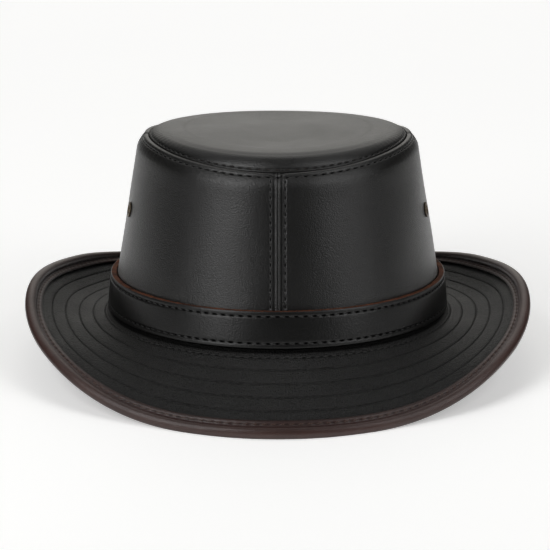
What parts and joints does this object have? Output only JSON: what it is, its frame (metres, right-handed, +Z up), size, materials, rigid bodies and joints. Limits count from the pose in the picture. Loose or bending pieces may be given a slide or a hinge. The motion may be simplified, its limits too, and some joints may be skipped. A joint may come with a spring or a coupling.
{
  "type": "flat-topped leather hat with a quilted brim",
  "caption": "Flat-topped leather hat: panelled crown with oval tip, plain strap band, quilted brim that dips front and back, bound edge and brass air eyelets.",
  "frame": {"origin": "on the surface that the hat rests on, under the middle of its length and width", "axes": "+Z up, -Y towards the front of the hat, +X to the right as seen from the front; the crown leans back by six degrees because the brim dips deeper in front"},
  "size_m": [0.2676, 0.298, 0.1225],
  "materials": {
    "crown_leather": "semi-matt black grain",
    "band_leather": "smooth black",
    "brim_leather": "matt black, buffed",
    "binding_leather": "semi-matt dark brown",
    "eyelet_brass": "antiqued",
    "thread": "waxed black thread"
  },
  "bodies": {
    "root": {"crown_tip": "crown_leather", "crown_panel_front_left": "crown_leather", "crown_panel_front_right": "crown_leather", "crown_panel_back_left": "crown_leather", "crown_panel_back_right": "crown_leather", "hat_band": "band_leather", "brim": "brim_leather", "brim_binding": "binding_leather", "eyelet_left_front": "eyelet_brass", "eyelet_left_back": "eyelet_brass", "eyelet_right_front": "eyelet_brass", "eyelet_right_back": "eyelet_brass"}
  },
  "joints": []
}
